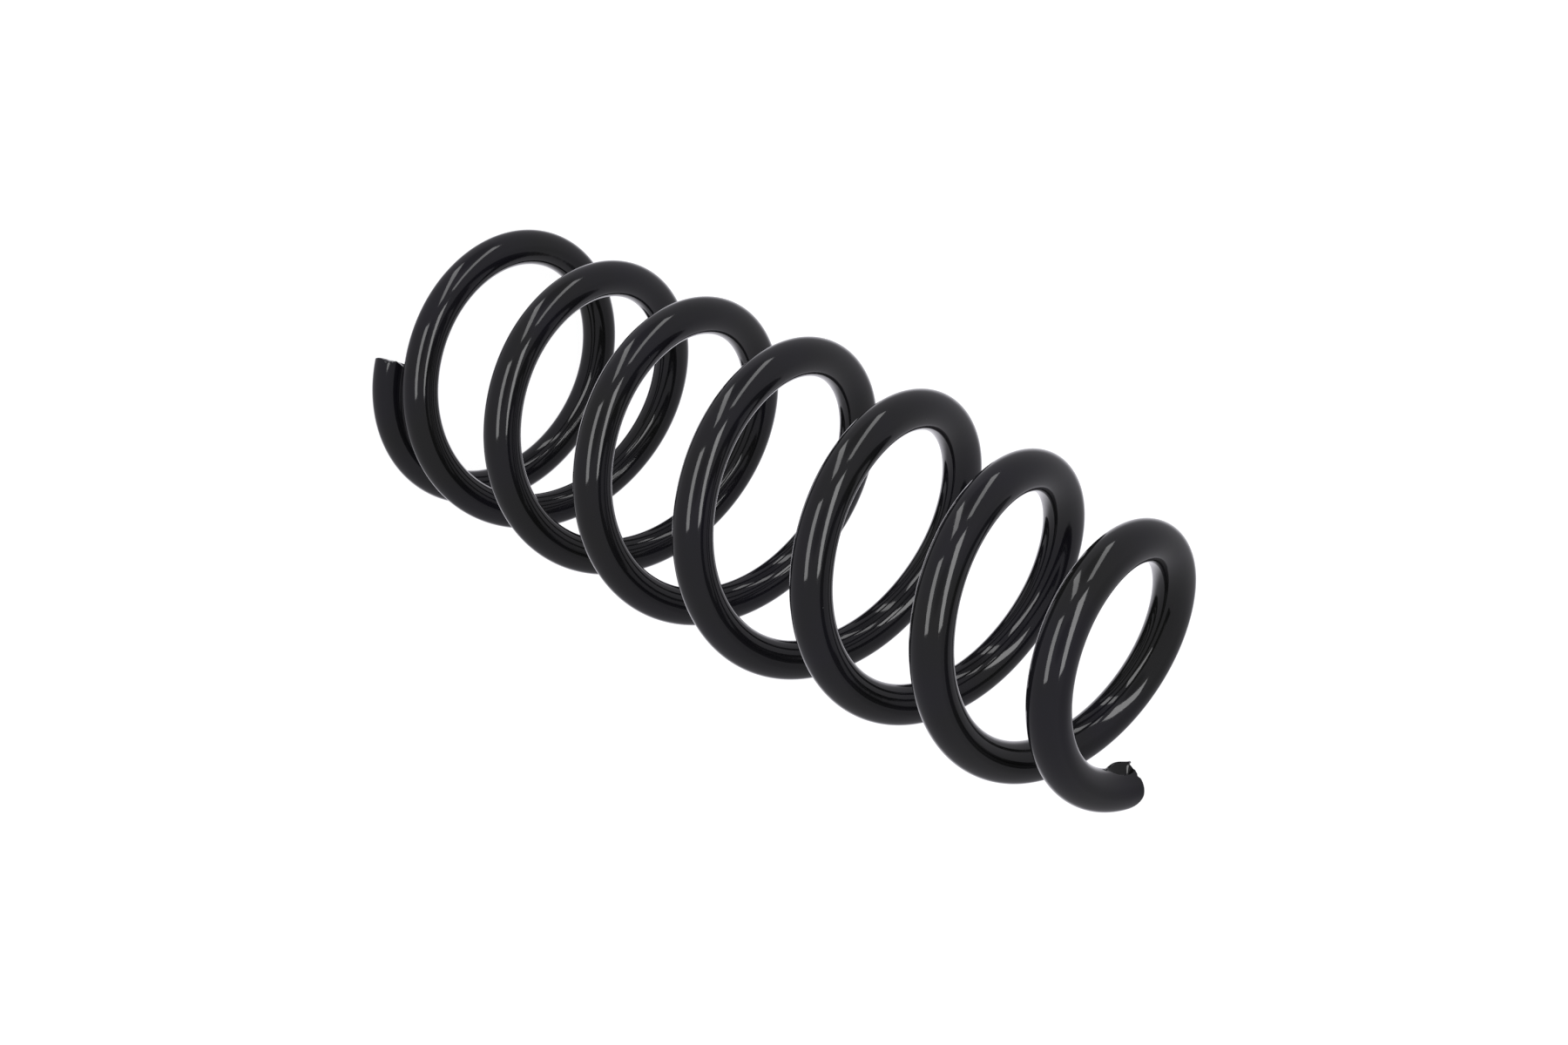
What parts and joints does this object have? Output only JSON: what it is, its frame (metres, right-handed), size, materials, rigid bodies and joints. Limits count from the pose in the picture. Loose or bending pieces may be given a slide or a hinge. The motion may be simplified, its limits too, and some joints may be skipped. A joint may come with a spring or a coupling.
{
  "type": "automotive suspension coil spring",
  "caption": "Right-hand wound steel suspension spring in black powder coat, with a full-size lower end coil and an upper end coil of reduced diameter.",
  "frame": {"origin": "middle of the lower end coil, in the plane of the lower seat that it stands on", "axes": "+Z along the spring's axis towards the reduced upper end coil; +X from the axis towards the lower end of the bar"},
  "size_m": [0.1168, 0.1163, 0.3246],
  "materials": {
    "powder_coat": "semi-gloss black powder coat on shot-peened spring steel"
  },
  "bodies": {
    "lower_coil": {"lower_end": "powder_coat", "coil1_arc2": "powder_coat", "coil1_arc3": "powder_coat", "coil1_arc4": "powder_coat", "coil1_arc5": "powder_coat", "coil1_arc6": "powder_coat", "coil1_arc7": "powder_coat"},
    "coil1_arc8": {"coil1_arc8": "powder_coat", "coil2_arc1": "powder_coat", "coil2_arc2": "powder_coat"},
    "coil2_arc3": {"coil2_arc3": "powder_coat", "coil2_arc4": "powder_coat", "coil2_arc5": "powder_coat"},
    "coil2_arc6": {"coil2_arc6": "powder_coat", "coil2_arc7": "powder_coat", "coil2_arc8": "powder_coat"},
    "coil3_arc1": {"coil3_arc1": "powder_coat", "coil3_arc2": "powder_coat", "coil3_arc3": "powder_coat"},
    "coil3_arc4": {"coil3_arc4": "powder_coat", "coil3_arc5": "powder_coat", "coil3_arc6": "powder_coat"},
    "coil3_arc7": {"coil3_arc7": "powder_coat", "coil3_arc8": "powder_coat", "coil4_arc1": "powder_coat"},
    "coil4_arc2": {"coil4_arc2": "powder_coat", "coil4_arc3": "powder_coat", "coil4_arc4": "powder_coat"},
    "coil4_arc5": {"coil4_arc5": "powder_coat", "coil4_arc6": "powder_coat", "coil4_arc7": "powder_coat"},
    "coil4_arc8": {"coil4_arc8": "powder_coat", "coil5_arc1": "powder_coat", "coil5_arc2": "powder_coat"},
    "coil5_arc3": {"coil5_arc3": "powder_coat", "coil5_arc4": "powder_coat", "coil5_arc5": "powder_coat"},
    "coil5_arc6": {"coil5_arc6": "powder_coat", "coil5_arc7": "powder_coat", "coil5_arc8": "powder_coat"},
    "coil6_arc1": {"coil6_arc1": "powder_coat", "coil6_arc2": "powder_coat", "coil6_arc3": "powder_coat"},
    "coil6_arc4": {"coil6_arc4": "powder_coat", "coil6_arc5": "powder_coat", "coil6_arc6": "powder_coat"},
    "coil6_arc7": {"coil6_arc7": "powder_coat", "coil6_arc8": "powder_coat", "coil7_arc1": "powder_coat"},
    "coil7_arc2": {"coil7_arc2": "powder_coat", "coil7_arc3": "powder_coat", "coil7_arc4": "powder_coat"},
    "coil7_arc5": {"coil7_arc5": "powder_coat", "coil7_arc6": "powder_coat", "coil7_arc7": "powder_coat"},
    "coil7_arc8": {"coil7_arc8": "powder_coat", "coil8_arc1": "powder_coat", "upper_end": "powder_coat"}
  },
  "joints": [
    {"name": "twist_coil1_arc8", "type": "hinge", "parent": "lower_coil", "child": "coil1_arc8", "pos_m": [0.0341, -0.03801, 0.01963], "axis": [-0.7318, -0.6668, -0.141], "range_deg": [0, 2.37], "stiffness_Nm_per_rad": 1880},
    {"name": "twist_coil2_arc3", "type": "hinge", "parent": "coil1_arc8", "child": "coil2_arc3", "pos_m": [0.00182, 0.0503, 0.03898], "axis": [0.9875, -0.0413, -0.1523], "range_deg": [0, 7.48], "stiffness_Nm_per_rad": 1860},
    {"name": "twist_coil2_arc6", "type": "hinge", "parent": "coil2_arc3", "child": "coil2_arc6", "pos_m": [-0.03771, -0.03544, 0.05835], "axis": [-0.6726, 0.7246, -0.1499], "range_deg": [0, 12.32], "stiffness_Nm_per_rad": 1860},
    {"name": "twist_coil3_arc1", "type": "hinge", "parent": "coil2_arc6", "child": "coil3_arc1", "pos_m": [0.0507, -0.0024, 0.07785], "axis": [-0.0318, -0.9877, -0.1533], "range_deg": [0, 13.51], "stiffness_Nm_per_rad": 1860},
    {"name": "twist_coil3_arc4", "type": "hinge", "parent": "coil3_arc1", "child": "coil3_arc4", "pos_m": [-0.03538, 0.03626, 0.09747], "axis": [0.7176, 0.68, -0.1509], "range_deg": [0, 13.5], "stiffness_Nm_per_rad": 1860},
    {"name": "twist_coil3_arc7", "type": "hinge", "parent": "coil3_arc4", "child": "coil3_arc7", "pos_m": [-0.00141, -0.05184, 0.1168], "axis": [-0.9883, 0.0222, -0.151], "range_deg": [0, 13.51], "stiffness_Nm_per_rad": 1860},
    {"name": "twist_coil4_arc2", "type": "hinge", "parent": "coil3_arc7", "child": "coil4_arc2", "pos_m": [0.03643, 0.0346, 0.13642], "axis": [0.6867, -0.7106, -0.1533], "range_deg": [0, 13.51], "stiffness_Nm_per_rad": 1860},
    {"name": "twist_coil4_arc5", "type": "hinge", "parent": "coil4_arc2", "child": "coil4_arc5", "pos_m": [-0.05124, -0.0002, 0.1559], "axis": [0.012, 0.9886, -0.1499], "range_deg": [0, 13.45], "stiffness_Nm_per_rad": 1860},
    {"name": "twist_coil4_arc8", "type": "hinge", "parent": "coil4_arc5", "child": "coil4_arc8", "pos_m": [0.03522, -0.03711, 0.1752], "axis": [-0.7041, -0.6936, -0.1524], "range_deg": [0, 13.35], "stiffness_Nm_per_rad": 1870},
    {"name": "twist_coil5_arc3", "type": "hinge", "parent": "coil4_arc8", "child": "coil5_arc3", "pos_m": [-0.00012, 0.04956, 0.19471], "axis": [0.9883, -0.002, -0.1522], "range_deg": [0, 13.11], "stiffness_Nm_per_rad": 1890},
    {"name": "twist_coil5_arc6", "type": "hinge", "parent": "coil5_arc3", "child": "coil5_arc6", "pos_m": [-0.03584, -0.03461, 0.21347], "axis": [-0.7009, 0.6973, -0.15], "range_deg": [0, 12.11], "stiffness_Nm_per_rad": 1960},
    {"name": "twist_coil6_arc1", "type": "hinge", "parent": "coil5_arc6", "child": "coil6_arc1", "pos_m": [0.04521, -0.00106, 0.23161], "axis": [0.0074, -0.9881, -0.1533], "range_deg": [0, 11.45], "stiffness_Nm_per_rad": 2020},
    {"name": "twist_coil6_arc4", "type": "hinge", "parent": "coil6_arc1", "child": "coil6_arc4", "pos_m": [-0.03431, 0.03146, 0.24946], "axis": [0.69, 0.7079, -0.1508], "range_deg": [0, 10.64], "stiffness_Nm_per_rad": 2090},
    {"name": "twist_coil6_arc7", "type": "hinge", "parent": "coil6_arc4", "child": "coil6_arc7", "pos_m": [-0.00346, -0.04312, 0.26597], "axis": [-0.9884, -0.0171, -0.151], "range_deg": [0, 9.6], "stiffness_Nm_per_rad": 2200},
    {"name": "twist_coil7_arc2", "type": "hinge", "parent": "coil6_arc7", "child": "coil7_arc2", "pos_m": [0.02472, 0.03371, 0.28293], "axis": [0.7146, -0.6832, -0.1504], "range_deg": [0, 11], "stiffness_Nm_per_rad": 2060},
    {"name": "twist_coil7_arc5", "type": "hinge", "parent": "coil7_arc2", "child": "coil7_arc5", "pos_m": [-0.05231, 0.00409, 0.29801], "axis": [-0.0209, 0.9931, -0.1154], "range_deg": [0, 6.19], "stiffness_Nm_per_rad": 2400},
    {"name": "twist_coil7_arc8", "type": "hinge", "parent": "coil7_arc5", "child": "coil7_arc8", "pos_m": [0.01266, -0.02123, 0.30794], "axis": [-0.6956, -0.7111, -0.1024], "range_deg": [0, 3.1], "stiffness_Nm_per_rad": 2510}
  ],
  "couplings": [
    {"joint": "twist_coil1_arc8", "follows": "twist_coil3_arc4", "ratio": 0.1744},
    {"joint": "twist_coil2_arc3", "follows": "twist_coil3_arc4", "ratio": 0.553},
    {"joint": "twist_coil2_arc6", "follows": "twist_coil3_arc4", "ratio": 0.9112},
    {"joint": "twist_coil3_arc1", "follows": "twist_coil3_arc4", "ratio": 1},
    {"joint": "twist_coil3_arc7", "follows": "twist_coil3_arc4", "ratio": 1},
    {"joint": "twist_coil4_arc2", "follows": "twist_coil3_arc4", "ratio": 0.9998},
    {"joint": "twist_coil4_arc5", "follows": "twist_coil3_arc4", "ratio": 0.9952},
    {"joint": "twist_coil4_arc8", "follows": "twist_coil3_arc4", "ratio": 0.9877},
    {"joint": "twist_coil5_arc3", "follows": "twist_coil3_arc4", "ratio": 0.9699},
    {"joint": "twist_coil5_arc6", "follows": "twist_coil3_arc4", "ratio": 0.8962},
    {"joint": "twist_coil6_arc1", "follows": "twist_coil3_arc4", "ratio": 0.8469},
    {"joint": "twist_coil6_arc4", "follows": "twist_coil3_arc4", "ratio": 0.7868},
    {"joint": "twist_coil6_arc7", "follows": "twist_coil3_arc4", "ratio": 0.7102},
    {"joint": "twist_coil7_arc2", "follows": "twist_coil3_arc4", "ratio": 0.8139},
    {"joint": "twist_coil7_arc5", "follows": "twist_coil3_arc4", "ratio": 0.4575},
    {"joint": "twist_coil7_arc8", "follows": "twist_coil3_arc4", "ratio": 0.2285}
  ]
}
